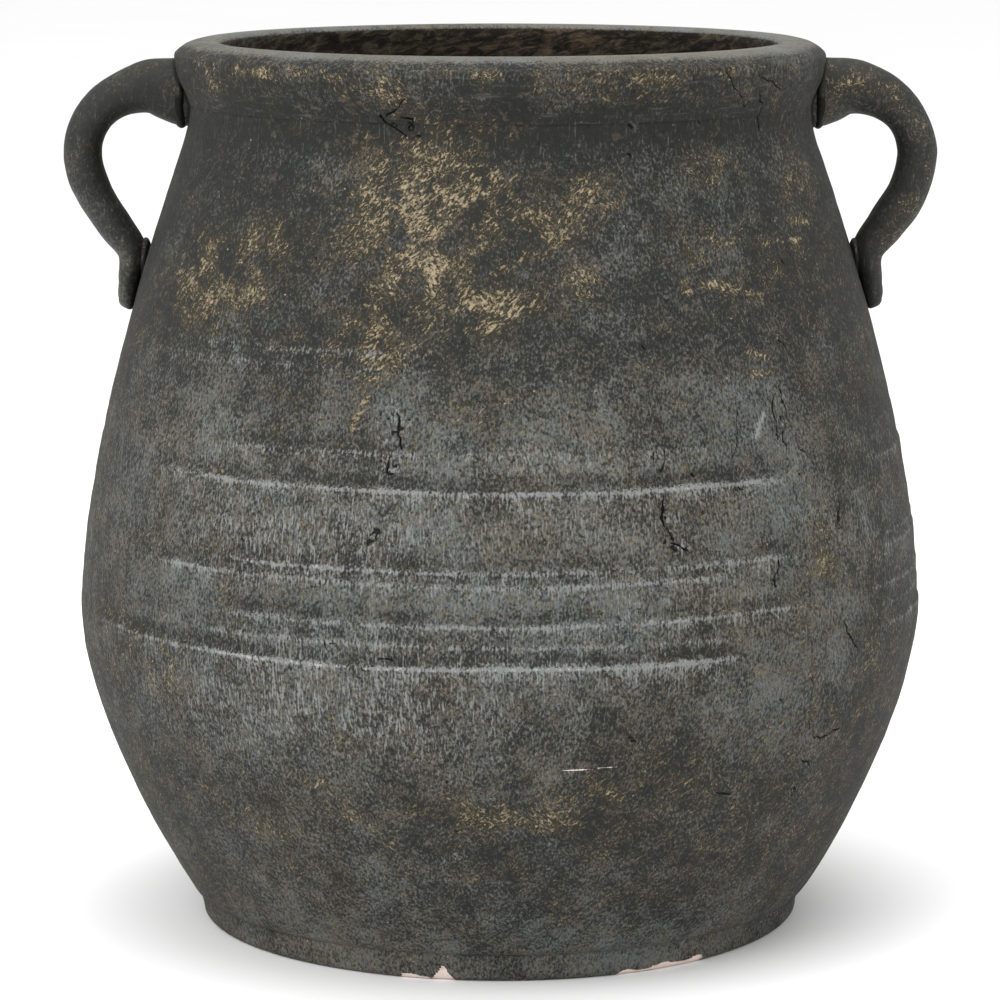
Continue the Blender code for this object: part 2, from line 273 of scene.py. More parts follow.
def drift(points, size, seed):
    """Smooth random values between -1 and 1; neighbours about size metres apart differ."""
    cells = 32
    grid = np.random.default_rng(seed).random((cells, cells, cells))
    place = points / size
    corner = np.floor(place).astype(int)
    share = place - corner
    share = share * share * (3.0 - 2.0 * share)
    total = np.zeros(len(points))
    for step in itertools.product((0, 1), repeat=3):
        weight = np.prod(np.where(step, share, 1.0 - share), axis=1)
        x, y, z = ((corner + step) % cells).T
        total += weight * grid[x, y, z]
    return 2.0 * total - 1.0


def lumps_of(points, *layers):
    """Drifts of several sizes added up; each layer is (height, size, seed)."""
    return sum(height * drift(points, size, seed) for height, size, seed in layers)


def outer_radius(height):
    """Outside of the wall at each height."""
    height = np.asarray(height, dtype=float)
    below = np.clip((BELLY_HEIGHT - height) / BELLY_HEIGHT, 0.0, None)
    above = np.clip((height - BELLY_HEIGHT) / (NECK_HEIGHT - BELLY_HEIGHT), 0.0, None)
    lower = BELLY_RADIUS - (BELLY_RADIUS - FOOT_RADIUS) * below ** LOWER_CURVE
    cone = BELLY_RADIUS - (BELLY_RADIUS - SHOULDER_CONE_RADIUS) * above ** UPPER_CURVE
    over = cone - NECK_RADIUS
    upper = NECK_RADIUS + 0.5 * (over + np.hypot(over, NECK_BLEND))
    return np.where(height <= BELLY_HEIGHT, lower, upper)


def skin_radius(height):
    """Outside of the whole pot at each height, collar included."""
    radii, levels = zip(*COLLAR_OUTSIDE)
    collar = np.interp(height, levels, radii)
    slab = np.interp(height, (0.0, 0.002, SLAB_TOP),
                     (SLAB_UNDER_RADIUS, SLAB_FOOT_RADIUS, SLAB_EDGE_RADIUS))
    radius = np.where(height > NECK_HEIGHT, collar, outer_radius(height))
    return np.where(height < SLAB_TOP, slab, radius)


def smooth_path(points, spans):
    """Smooth path through the points, spans steps between each pair."""
    path = []
    last = len(points) - 1
    points = [Vector(point) for point in points]
    for index in range(last):
        before = points[max(index - 1, 0)]
        start = points[index]
        end = points[index + 1]
        after = points[min(index + 2, last)]
        for step in range(spans):
            t = step / spans
            path.append(0.5 * (2.0 * start + (end - before) * t
                               + (2.0 * before - 5.0 * start + 4.0 * end - after) * t * t
                               + (3.0 * start - before - 3.0 * end + after) * t ** 3))
    path.append(points[-1])
    return path


def row_heights(bottom, top):
    """Levels of the outer rows, from the bottom up, closer together across each ring."""
    rows = [bottom]
    while rows[-1] < top:
        near = any(abs(rows[-1] + 0.5 * ROW - ring.height) < FINE_BAND for ring in RINGS)
        rows.append(rows[-1] + (FINE_ROW if near else ROW))
    rows = [level for level in rows if level < top - 0.5 * FINE_ROW]
    return rows + [top]


def even_rows(bottom, top, spacing):
    """Levels from bottom to top, evenly about so far apart."""
    count = max(2, round((top - bottom) / spacing))
    return [bottom + (top - bottom) * step / count for step in range(count + 1)]


def on_wall(points):
    """Degrees round the pot, 0 in front and growing to the right, and height of each point."""
    return np.degrees(np.arctan2(points[:, 0], -points[:, 1])), points[:, 2]


def line_distance(angle, height, points):
    """Distance over the wall from a line through (angle, height) points."""
    radius = float(skin_radius(points[0][1]))
    across = np.radians(angle) * radius
    nearest = np.full(len(height), 1.0)
    for (start_angle, start_height), (end_angle, end_height) in zip(points, points[1:]):
        start = np.array((math.radians(start_angle) * radius, start_height))
        along = np.array((math.radians(end_angle) * radius, end_height)) - start
        length = max(float(along @ along), 1e-12)
        share = ((across - start[0]) * along[0] + (height - start[1]) * along[1]) / length
        share = np.clip(share, 0.0, 1.0)
        gap = np.hypot(across - start[0] - share * along[0], height - start[1] - share * along[1])
        nearest = np.minimum(nearest, gap)
    return nearest


def near_line(angle, height, points, reach):
    """Which places lie close enough to a line for it to matter."""
    angles, levels = zip(*points)
    near = (height > min(levels) - reach) & (height < max(levels) + reach)
    return near & (angle > min(angles) - 4.0) & (angle < max(angles) + 4.0)


def damage_distance(points):
    """For each point: how far it is from a crack or pit, in crack widths, and its depth there."""
    angle, height = on_wall(points)
    jitter = lumps_of(points, (0.0011, 0.0027, 31), (0.0004, 0.0009, 32))
    angle = angle + np.degrees(jitter / BELLY_RADIUS)
    height = height + 0.0004 * drift(points, 0.0017, 33)
    closeness = np.full(len(height), 99.0)
    depth = np.zeros(len(height))
    breadth = 0.5 + 0.42 * drift(points, 0.0032, 34)
    marks = list(CRACKS)
    marks += [Crack(0.001, 0.0007, (pit, (pit[0] + 0.3, pit[1] - 0.0008))) for pit in PITS]
    for mark in marks:
        near = near_line(angle, height, mark.points, 0.006)
        if not near.any():
            continue
        gap = line_distance(angle[near], height[near], mark.points) / (mark.width * breadth[near])
        depth[near] = np.maximum(depth[near], mark.depth * smooth_step(1.0, 0.0, gap))
        closeness[near] = np.minimum(closeness[near], gap)
    torn = patch_density(points, TORN)
    rough = lumps_of(points, (0.6, 0.0013, 35), (0.4, 0.0026, 36))
    bite = smooth_step(0.16, 0.5, rough - 0.75 * (1.0 - np.minimum(torn * 1.5, 1.0)))
    depth = np.maximum(depth, 0.0007 * bite)
    closeness = np.minimum(closeness, 1.6 - 1.0 * bite + 99.0 * (torn < 0.12))
    return closeness, depth


def ring_strength(ring, angle):
    """How strong one ring is at each angle: full in front, gone in the rough seam, back behind."""
    front = window(angle, ring.left - 6.0, ring.left + 5.0, ring.right - 4.0, ring.right + 5.0)
    back = smooth_step(ring.resumes - 3.0, ring.resumes + 4.0, angle)
    back += smooth_step(-96.0, -112.0, angle)
    left = 0.22 * window(angle, -112.0, -96.0, ring.left - 6.0, ring.left + 5.0)
    return np.clip(front + 0.8 * back + left, 0.0, 1.0)


def ring_marks(points):
    """Relief of the throwing rings, where their crests catch dry pale clay, and painted shade in the
    hollow above each crest.
    """
    angle, height = on_wall(points)
    relief = np.zeros(len(height))
    crest = np.zeros(len(height))
    shade = np.zeros(len(height))
    flat = points * (1.0, 1.0, 0.0)
    for index, ring in enumerate(RINGS):
        near = np.abs(height - ring.height) < 0.022
        if not near.any():
            continue
        level = flat[near]
        wander = lumps_of(level, (0.0005, 0.05, 60 + index), (0.00015, 0.012, 80 + index))
        above = height[near] - ring.height - wander
        under = np.minimum(above, 0.0)
        strength = ring_strength(ring, angle[near])
        strength *= 0.86 + lumps_of(level, (0.2, 0.03, 100 + index), (0.14, 0.009, 120 + index))
        ledge = np.where(above > 0.0, smooth_step(0.0008, 0.0, above), np.exp(under / 0.005))
        hollow = np.exp(-((above - 0.0026) / 0.0021) ** 2)
        deeper = 0.45 + 0.5 * smooth_step(-30.0, -55.0, angle[near])
        relief[near] += ring.depth * strength * (ledge - deeper * hollow)
        line = np.exp(-((above + 0.0005) / 0.00105) ** 2)
        smear = 0.64 * np.where(above < 0.0, np.exp(under / 0.0054), 0.0)
        share = min(1.0, 0.25 + 0.75 * ring.depth / 0.0005)
        dim = 1.0 - 0.28 * window(angle[near], 50.0, 60.0, 85.0, 100.0)
        dim -= 0.38 * window(angle[near], -100.0, -85.0, -58.0, -38.0)
        crest[near] = np.maximum(crest[near], dim * share * strength * np.maximum(line, smear))
        shade[near] = np.maximum(shade[near], share * strength * hollow)
    return relief, crest, shade


def wall_relief(points):
    """How far each outer point stands in or out from the true turned shape."""
    angle, height = on_wall(points)
    settle = smooth_step(0.0, 0.012, height)
    relief = lumps_of(points, (0.00055, 0.085, 1), (0.00028, 0.034, 2), (0.00012, 0.013, 3),
                      (0.00006, 0.0055, 4), (0.00003, 0.0024, 5))
    banded = points * (0.14, 0.14, 1.0)
    relief += lumps_of(banded, (0.0001, 0.005, 6), (0.00005, 0.0021, 7))
    seam = np.exp(-((angle - 46.0) / 8.0) ** 2) * window(height, 0.055, 0.075, 0.195, 0.215)
    relief += seam * lumps_of(points, (0.00016, 0.0042, 8), (0.0001, 0.0018, 9))
    dip = line_distance(angle, height, HOLLOW)
    relief -= 0.0007 * np.exp(-(dip / 0.004) ** 2)
    cut = np.exp(-((angle - 55.0) / 28.0) ** 2) * smooth_step(0.016, 0.0, height)
    relief -= 0.0034 * cut
    relief -= 0.0014 * smooth_step(0.001, -0.001, chip_edge(points))
    return relief * (0.35 + 0.65 * settle)


def chip_edge(points):
    """Height above the ragged edge of the chip in the foot; negative inside the chip."""
    angle, height = on_wall(points)
    peak = CHIP_HEIGHT * (1.0 - np.abs(angle - CHIP_ANGLE) / CHIP_HALF_ANGLE)
    return height - peak - 0.0006 * drift(points, 0.0022, 45)


def bare_clay(points):
    """Where the pale clay shows: the chip, a worn strip of foot edge and one scratch."""
    angle, height = on_wall(points)
    edge = 0.0016 + 0.0013 * drift(points * (1.0, 1.0, 0.0), 0.006, 46)
    strip = window(angle, 18.0, 26.0, 36.0, 46.0) + window(angle, -20.0, -17.0, -14.0, -12.0)
    worn = strip * smooth_step(edge + 0.0005, edge - 0.0005, height)
    scratch = 0.58 * smooth_step(0.00034, 0.0001, line_distance(angle, height, SCRATCH))
    scratch *= 0.9 + 0.35 * drift(points, 0.0024, 50)
    return np.maximum(np.maximum(worn, smooth_step(0.0004, -0.0004, chip_edge(points))), scratch)


def earth_cover(points):
    """How much ochre earth is rubbed in: strong in patches, a little everywhere."""
    angle, height = on_wall(points)
    thin = 0.17 + lumps_of(points, (0.1, 0.03, 47), (0.08, 0.011, 48))
    thin += np.interp(angle, (-90.0, -50.0, 0.0, 35.0, 60.0, 90.0),
                      (0.06, 0.02, 0.0, 0.06, 0.12, 0.1))
    thin *= np.interp(height, (0.0, 0.07, 0.12, 0.17, 0.21, 0.27, 0.284, 0.3),
                      (0.8, 1.0, 0.8, 0.7, 0.6, 0.2, 0.5, 0.8))
    strokes = 0.95 * stroke_density(points, OCHRE_STROKES)
    rubbed = np.maximum(patch_density(points, OCHRE_PATCHES), strokes)
    return np.maximum(rubbed, thin)


def tone_and_painted_shade(points, lip):
    """How dusty pale (1) or smoked dark (0) the clay looks, place by place: dust and random tone
    together with painted light and shade, and the flat lip lighter still.
    """
    angle, height = on_wall(points)
    tone = np.interp(height, *zip(*TONE_BY_HEIGHT))
    side = np.interp(angle, *zip(*PAINTED_SHADE_BY_ANGLE))
    tone = tone + np.where(np.abs(angle) < 90.0, side, -0.05)
    for place in LIGHTER_PLACES:
        spread = ((angle - place.angle) / place.half_angle) ** 2
        spread += ((height - place.height) / place.half_height) ** 2
        tone += place.strength * np.exp(-spread)
    # Painted shade low on the front and right and down the lower right side; lighter high on the
    # right and low on the left, darker high on the left.
    low = smooth_step(-40.0, 5.0, angle) * smooth_step(0.11, 0.06, height)
    tone -= 0.16 * low * smooth_step(0.004, 0.016, height)
    tone -= 0.1 * smooth_step(50.0, 66.0, angle) * smooth_step(0.205, 0.18, height)
    tone += 0.08 * smooth_step(48.0, 60.0, angle) * smooth_step(0.205, 0.225, height)
    tone -= 0.05 * smooth_step(-20.0, -30.0, angle) * smooth_step(0.195, 0.215, height)
    tone += 0.07 * smooth_step(-15.0, -30.0, angle) * smooth_step(0.055, 0.035, height)
    tone += lumps_of(points, (0.08, 0.045, 21), (0.1, 0.018, 22))
    return np.clip(tone + lip * 0.7, -0.2, 1.3)


def patch_density(points, patches):
    """Strongest of the patches at each point, fading from each middle."""
    angle, height = on_wall(points)
    density = np.zeros(len(height))
    for patch in patches:
        turn = (angle - patch.angle + 180.0) % 360.0 - 180.0
        spread = (turn / patch.half_angle) ** 2 + ((height - patch.height) / patch.half_height) ** 2
        density = np.maximum(density, patch.strength * np.exp(-0.7 * spread))
    return density


def stroke_density(points, strokes):
    """1 along each stroke, fading out across it."""
    angle, height = on_wall(points)
    density = np.zeros(len(height))
    for stroke in strokes:
        near = near_line(angle, height, stroke, 0.005)
        if near.any():
            gap = line_distance(angle[near], height[near], stroke)
            density[near] = np.maximum(density[near], np.exp(-(gap / STROKE_HALF_WIDTH) ** 2))
    return density


# ---------------------------------------------------------------- meshes

def spun(outline, closed):
    """Spin an outline, top to bottom down its outer side, once round the pot axis."""
    bm = bmesh.new()
    verts = [bm.verts.new((radius, 0.0, height)) for radius, height in outline]
    edges = [bm.edges.new(pair) for pair in zip(verts, verts[1:])]
    if closed:
        edges.append(bm.edges.new((verts[-1], verts[0])))
    bmesh.ops.spin(bm, geom=verts + edges, cent=(0, 0, 0), axis=(0, 0, 1), angle=TAU / 8,
                   steps=COLUMNS // 8, use_merge=False)
    for turn in (TAU / 8, TAU / 4, TAU / 2):
        whole = bm.verts[:] + bm.edges[:] + bm.faces[:]
        copied = bmesh.ops.duplicate(bm, geom=whole)["geom"]
        moved = [item for item in copied if isinstance(item, bmesh.types.BMVert)]
        bmesh.ops.rotate(bm, cent=(0, 0, 0), matrix=Matrix.Rotation(turn, 3, "Z"), verts=moved)
    bmesh.ops.remove_doubles(bm, verts=bm.verts, dist=0.00001)
    bmesh.ops.recalc_face_normals(bm, faces=bm.faces)
    return bm


def mesh_points(mesh):
    """Every vertex position, one row each."""
    points = np.empty(len(mesh.vertices) * 3)
    mesh.vertices.foreach_get("co", points)
    return points.reshape(-1, 3)


def crowd_columns(bm):
    """Bring the columns closer together at the front, where the marks are finest."""
    points = np.array([vert.co[:] for vert in bm.verts])
    angle = np.arctan2(points[:, 0], -points[:, 1])
    angle = angle - FRONT_CROWDING * np.sin(angle)
    radius = np.hypot(points[:, 0], points[:, 1])
    for vert, turn, reach in zip(bm.verts, angle, radius):
        vert.co.x = reach * math.sin(turn)
        vert.co.y = -reach * math.cos(turn)


def refine_near_damage(bm):
    """Cut the faces round each crack and pit finer, so their edges stay crisp."""
    faces = list(bm.faces)
    centres = np.array([face.calc_center_median()[:] for face in faces])
    closeness, _ = damage_distance(centres)
    outside = np.hypot(centres[:, 0], centres[:, 1]) > skin_radius(centres[:, 2]) - 0.25 * WALL
    scratched = line_distance(*on_wall(centres), SCRATCH) < 0.0016
    chosen = np.flatnonzero(((closeness < DAMAGE_REACH) | scratched) & outside)
    edges = {edge for index in chosen for edge in faces[index].edges}
    if edges:
        bmesh.ops.subdivide_edges(bm, edges=list(edges), cuts=DAMAGE_CUTS, use_grid_fill=True)


def shape_wall(mesh, sizes):
    """Give a turned ring its hand-made surface; note what clings where, and where shade is painted.
    """
    points = mesh_points(mesh)
    radius = np.hypot(points[:, 0], points[:, 1])
    skin = skin_radius(points[:, 2])
    outside = smooth_step(0.55, 0.95, (radius - skin + WALL) / WALL)
    rings, crest, shade = ring_marks(points)
    closeness, depth = damage_distance(points)
    inner = 0.0006 * drift(points * (0.2, 0.2, 1.0), 0.007, 40) + 0.0004 * drift(points, 0.02, 41)
    worked = sizes.wall_wander * wall_relief(points) + sizes.ring_relief * rings
    shift = outside * (worked - sizes.crack_depth * depth) + (1.0 - outside) * inner
    shift *= smooth_step(0.0, 0.02, radius)
    lift = (radius + shift) / np.maximum(radius, 1e-6)
    moved = points * np.stack((lift, lift, np.ones(len(lift))), axis=1)
    mesh.vertices.foreach_set("co", moved.ravel())
    note(mesh, "ochre", sizes.ochre_cover * outside * earth_cover(points))
    note(mesh, "pale", outside * patch_density(points, PALE_PATCHES))
    ragged = 0.5 * patch_density(points, TORN) * (0.7 + 0.6 * drift(points, 0.003, 49))
    ragged *= smooth_step(0.272, 0.262, points[:, 2])
    crest = np.maximum(crest, 0.9 * stroke_density(points, PALE_STROKES))
    note(mesh, "crest", outside * np.maximum(crest, ragged))
    note(mesh, "crevice", outside * smooth_step(1.25, 0.35, closeness))
    lip = smooth_step(0.2976, 0.2996, points[:, 2])
    hollow = (1.0 - outside) * (1.0 - lip) * smooth_step(0.001, 0.004, points[:, 2])
    note(mesh, "inside", hollow)
    # The hollows above the ring crests get painted shade in the tone.
    note(mesh, "tone", tone_and_painted_shade(points, lip) - 0.3 * shade * outside)
    note(mesh, "bare", outside * bare_clay(points))
    mesh.update()


def note(mesh, name, values):
    """Keep one number per vertex for the clay's colours to read."""
    layer = mesh.attributes.new(name, "FLOAT", "POINT")
    layer.data.foreach_set("value", np.asarray(values, dtype=np.float32))


def clear_piece(name):
    """Take away an earlier piece of this name, so an operator can run again."""
    old = bpy.data.objects.get(name)
    if old is not None:
        bpy.data.objects.remove(old, do_unlink=True)


def piece_from(name, bm, finish, node, work=None):
    """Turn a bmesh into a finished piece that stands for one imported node."""
    clear_piece(name)
    mesh = bpy.data.meshes.new(name)
    bm.to_mesh(mesh)
    bm.free()
    if work is not None:
        work(mesh)
    mesh.materials.append(finish)
    mesh.shade_smooth()
    mesh.set_sharp_from_angle(angle=math.radians(50.0))
    piece = bpy.data.objects.new(name, mesh)
    bpy.context.scene.collection.objects.link(piece)
    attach(piece, "root")
    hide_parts(node)
    return piece


def turned_piece(name, bm, finish, node, sizes):
    """A turned piece with the hand-made surface of the wall."""
    return piece_from(name, bm, finish, node, functools.partial(shape_wall, sizes=sizes))


def wall_ring(node, bottom, top, bottom_rise, palette, sizes, foot_inset=0.0):
    """One raised ring of wall; its joint faces slope up towards the inside."""
    outer = [(float(outer_radius(z)), z) for z in reversed(row_heights(bottom, top))]
    if foot_inset:
        outer[-1] = (outer[-1][0] - foot_inset, bottom)
    inner = [(float(outer_radius(z)) - WALL, z)
             for z in even_rows(bottom + bottom_rise, top + SCARF_RISE, INNER_ROW)]
    bm = spun(outer + inner, closed=True)
    crowd_columns(bm)
    refine_near_damage(bm)
    clay = node + "_clay"
    return turned_piece(node + "_ring", bm, wall_finish(clay, palette), node, sizes)


# ---------------------------------------------------------------- clay finishes

class Value:
    """A shader socket that can be written into a Python expression."""

    def __init__(self, finish, socket):
        self.finish = finish
        self.socket = socket

    def math(self, operation, *terms):
        return self.finish.node("ShaderNodeMath", {"operation": operation}, dict(enumerate(terms)))

    def __add__(self, other):
        return self.math("ADD", self, other)

    __radd__ = __add__

    def __sub__(self, other):
        return self.math("SUBTRACT", self, other)

    def __rsub__(self, other):
        return self.math("SUBTRACT", other, self)

    def __mul__(self, other):
        return self.math("MULTIPLY", self, other)

    __rmul__ = __mul__

    def __truediv__(self, other):
        return self.math("DIVIDE", self, other)

    def __rtruediv__(self, other):
        return self.math("DIVIDE", other, self)

    def __pow__(self, other):
        return self.math("POWER", self, other)


class Finish:
    """One clay finish: a material and the nodes that colour it."""

    def __init__(self, name):
        self.material = bpy.data.materials.new(name)
        self.material.use_nodes = True
        self.tree = self.material.node_tree
        self.shader = self.tree.nodes["Principled BSDF"]
        self.place = self.node("ShaderNodeTexCoord", output="Object")

    def node(self, kind, settings=(), sockets=(), output=0):
        """Add one node: its settings first, then its sockets; returns one output."""
        made = self.tree.nodes.new(kind)
        for key, setting in dict(settings).items():
            setattr(made, key, setting)
        for key, value in dict(sockets).items():
            self.feed(made.inputs[key], value)
        return Value(self, made.outputs[output])

    def feed(self, socket, value):
        if isinstance(value, Value):
            self.tree.links.new(value.socket, socket)
        elif socket.type == "RGBA":
            socket.default_value = (*value, 1.0)
        else:
            socket.default_value = value

    def noise(self, place, per_metre, detail=3.0, roughness=0.55, distortion=0.0):
        """Cloudy values about 0.5, with about so many clouds to the metre."""
        return self.node("ShaderNodeTexNoise", {"noise_dimensions": "3D"},
                         {"Vector": place, "Scale": per_metre, "Detail": detail,
                          "Roughness": roughness, "Distortion": distortion})

    def step(self, value, low, high):
        """0 below low, 1 above high, smooth between."""
        return self.node("ShaderNodeMapRange", {"interpolation_type": "SMOOTHSTEP"},
                         {"Value": value, "From Min": low, "From Max": high})

    def mix(self, share, first, second):
        """Colour going from first to second as share goes from 0 to 1."""
        return self.node("ShaderNodeMix", {"data_type": "RGBA"}, {0: share, 6: first, 7: second}, 2)

    def stretch(self, place, scale):
        return self.node("ShaderNodeVectorMath", {"operation": "MULTIPLY"}, {0: place, 1: scale})

    def twist(self, place, rate):
        """Turn the pattern about the pot axis as it rises, so strokes slant."""
        height = self.node("ShaderNodeSeparateXYZ", {}, {0: place}, "Z")
        return self.node("ShaderNodeVectorRotate", {"rotation_type": "Z_AXIS"},
                         {"Vector": place, "Angle": height * rate})

    def noted(self, name):
        return self.node("ShaderNodeAttribute", {"attribute_name": name}, output="Fac")

    def bump(self, height, depth):
        sockets = {"Strength": 1.0, "Distance": depth, "Height": height}
        return self.node("ShaderNodeBump", {}, sockets)

    def finished(self, colour, roughness, normal, specular):
        self.feed(self.shader.inputs["Base Color"], colour)
        self.feed(self.shader.inputs["Roughness"], roughness)
        self.feed(self.shader.inputs["Normal"], normal)
        self.shader.inputs["Specular IOR Level"].default_value = specular
        return self.material


def smoked_clay(name, palette, tone, ochre_gain, pale_gain, spread=0.192):
    """Black clay, dusty and brushed, with ochre earth rubbed into its surface."""
    finish = Finish(name)
    place = finish.place
    cloud = finish.noise(place, 26.0, 2.0, 0.5)
    mottle = finish.noise(place, 135.0, 3.0, 0.6)
    grain = finish.noise(finish.stretch(place, (1.0, 1.0, 0.55)), 1450.0, 2.0, 0.65)
    speck = finish.noise(place, 820.0, 2.0, 0.7)
    fine = finish.noise(place, 380.0, 2.0, 0.6)
    tint = finish.step(0.25 * cloud + 0.45 * fine + 0.3 * speck, 0.42, 0.58)
    light = finish.mix(tint, palette.dust_warm, palette.dust_cool)
    patch = finish.noise(place, 58.0, 3.0, 0.6)
    texture = 0.38 * grain + 0.22 * speck + 0.18 * mottle + 0.1 * cloud + 0.12 * patch
    # The tone noted on each piece, painted shade included, moves the grain between charcoal and dust
    # here.
    shaded = texture + (finish.noted("tone") - 0.5) * 0.2 + tone
    ground = finish.step(shaded, GROUND_MIDDLE - 0.5 * spread, GROUND_MIDDLE + 0.5 * spread)
    colour = finish.mix(ground, palette.charcoal, light)
    browner = finish.step(finish.noise(place, 48.0, 3.0, 0.6), 0.4, 0.64)
    earth = finish.step(0.5 * speck + 0.5 * fine, 0.515, 0.64)
    colour = finish.mix(earth * (0.1 + 0.45 * browner), colour, palette.rust)

    ochre = finish.noted("ochre")
    patchy = finish.noise(place, 110.0, 3.0, 0.65)
    clump = finish.step(patchy, 0.38, 0.6)
    worn = ochre * (0.3 + 0.9 * clump) * ochre_gain + (patchy - 0.5) * 0.5
    earthy = finish.step(worn + (mottle - 0.5) * 0.7 + 0.1, 0.05, 0.8)
    colour = finish.mix(earthy * 0.42, colour, palette.olive)
    slanted = finish.stretch(finish.twist(place, -6.5), (1.0, 1.0, 0.74))
    rising = finish.noise(slanted, 900.0, 2.5, 0.68, 0.9)
    slanted = finish.stretch(finish.twist(place, 4.0), (1.0, 1.0, 0.9))
    falling = finish.noise(slanted, 960.0, 2.5, 0.68, 0.9)
    turning = finish.step(finish.noise(place, 60.0, 1.0, 0.5), 0.47, 0.6)
    strokes = rising * (1.0 - turning) + falling * turning
    flecks = finish.step(strokes + worn * 0.17 + (grain - 0.5) * 0.25, 0.605, 0.7)
    colour = finish.mix(flecks * finish.step(worn, 0.02, 0.3), colour, palette.ochre)
    bright = finish.step(strokes + worn * 0.19 + (speck - 0.5) * 0.3, 0.68, 0.81)
    colour = finish.mix(bright * finish.step(worn, 0.12, 0.55), colour, palette.cream)

    upright = finish.noise(finish.stretch(place, (1.0, 1.0, 0.075)), 1500.0, 2.0, 0.6)
    pale = finish.noted("pale")
    brushed = finish.step(upright * 0.62 + grain * 0.23 + patch * 0.15 + pale * 0.07, 0.55, 0.66)
    colour = finish.mix(brushed * (pale * 0.9 * pale_gain + 0.22), colour, palette.pale)
    crest = finish.noted("crest")
    ragged = (grain - 0.5) * 1.9 + (upright - 0.5) * 1.6 + (mottle - 0.5) * 1.1
    dusty = finish.step(crest + ragged, 0.28, 0.92)
    colour = finish.mix(dusty * finish.step(crest, 0.02, 0.28) * 0.92, colour, palette.pale)
    dry = crest * 0.6 + pale * 0.36 * pale_gain + (speck - 0.5) * 1.6 + (grain - 0.5) * 0.8
    colour = finish.mix(finish.step(dry, 0.68, 1.02) * 0.75, colour, palette.chalk)

    spots = finish.noise(place, 520.0, 1.0, 0.5)
    colour = finish.mix(finish.step(spots, 0.29, 0.23) * 0.75, colour, palette.soot_and_shade)
    chalk = finish.noise(finish.stretch(place, (1.0, 1.0, 1.3)), 700.0, 0.0, 0.5)
    colour = finish.mix(finish.step(chalk, 0.86, 0.9) * 0.8, colour, palette.cream)
    # Crevice marks cracks and pits, and painted shade where the handles and lutes meet the pot.
    crevice = finish.noted("crevice")
    dark_crevice = finish.step(crevice + (grain - 0.5) * 0.5, 0.25, 0.75)
    colour = finish.mix(dark_crevice * 0.94, colour, palette.soot_and_shade)
    bare = finish.step(finish.noted("bare") + (grain - 0.5) * 0.7 + (mottle - 0.5) * 0.7, 0.4, 0.6)
    colour = finish.mix(bare, colour, palette.bare)

    roughness = 0.6 + 0.16 * grain + 0.12 * mottle
    height = 0.4 * grain + 0.26 * speck + 0.24 * mottle + 0.1 * upright + 0.2 * flecks
    return finish, colour, roughness, height


def brown_inside(finish, colour, palette):
    """Colour the inner faces of the pot a streaky brown."""
    slanted = finish.stretch(finish.twist(finish.place, 12.0), (0.45, 0.45, 1.0))
    fibres = finish.noise(slanted, 420.0, 4.0, 0.68, 0.6)
    smears = finish.noise(finish.place, 46.0, 2.0, 0.5)
    brown = finish.mix(finish.step(fibres * 0.7 + smears * 0.3, 0.44, 0.74),
                       palette.inside_dark, palette.inside_brown)
    return finish.mix(finish.step(finish.noted("inside"), 0.3, 0.7), colour, brown)


def wall_finish(name, palette):
    """Outside as smoked clay, brown within."""
    finish, colour, roughness, height = smoked_clay(name, palette, 0.0, 1.0, 1.0)
    colour = brown_inside(finish, colour, palette)
    return finish.finished(colour, roughness, finish.bump(height, 0.0008), 0.16)


def collar_finish(name, palette):
    """Collar: darker, with a grey lip and earth caught along its ridge; brown within."""
    finish, colour, roughness, height = smoked_clay(name, palette, -0.01, 1.0, 0.6)
    level = finish.noise(finish.stretch(finish.place, (0.12, 0.12, 1.0)), 900.0, 2.0, 0.6)
    colour = finish.mix(finish.step(level, 0.56, 0.74) * 0.14, colour, palette.pale)
    colour = brown_inside(finish, colour, palette)
    return finish.finished(colour, roughness, finish.bump(height, 0.0008), 0.16)


def handle_finish(name, palette):
    """Smoother and softer than the wall, with little pale dust."""
    finish, colour, roughness, height = smoked_clay(name, palette, -0.045, 0.9, 0.1, 0.36)
    return finish.finished(colour, roughness - 0.1, finish.bump(height, 0.0005), 0.24)


def lute_finish(name, palette):
    """The same clay as the wall, pressed by hand."""
    finish, colour, roughness, height = smoked_clay(name, palette, -0.02, 0.9, 0.5)
    return finish.finished(colour, roughness, finish.bump(height, 0.0008), 0.15)


# ---------------------------------------------------------------- add-on

def colour_property(name, description, default):
    """A colour the user can change."""
    return FloatVectorProperty(name=name, description=description, default=default,
                               subtype="COLOR", size=3, min=0.0, max=1.0)


def share_property(name, description):
    """A factor on one kind of mark: 0 leaves it out, 1 is as made."""
    return FloatProperty(name=name, description=description, default=1.0, min=0.0, soft_max=2.0,
                         subtype="FACTOR")


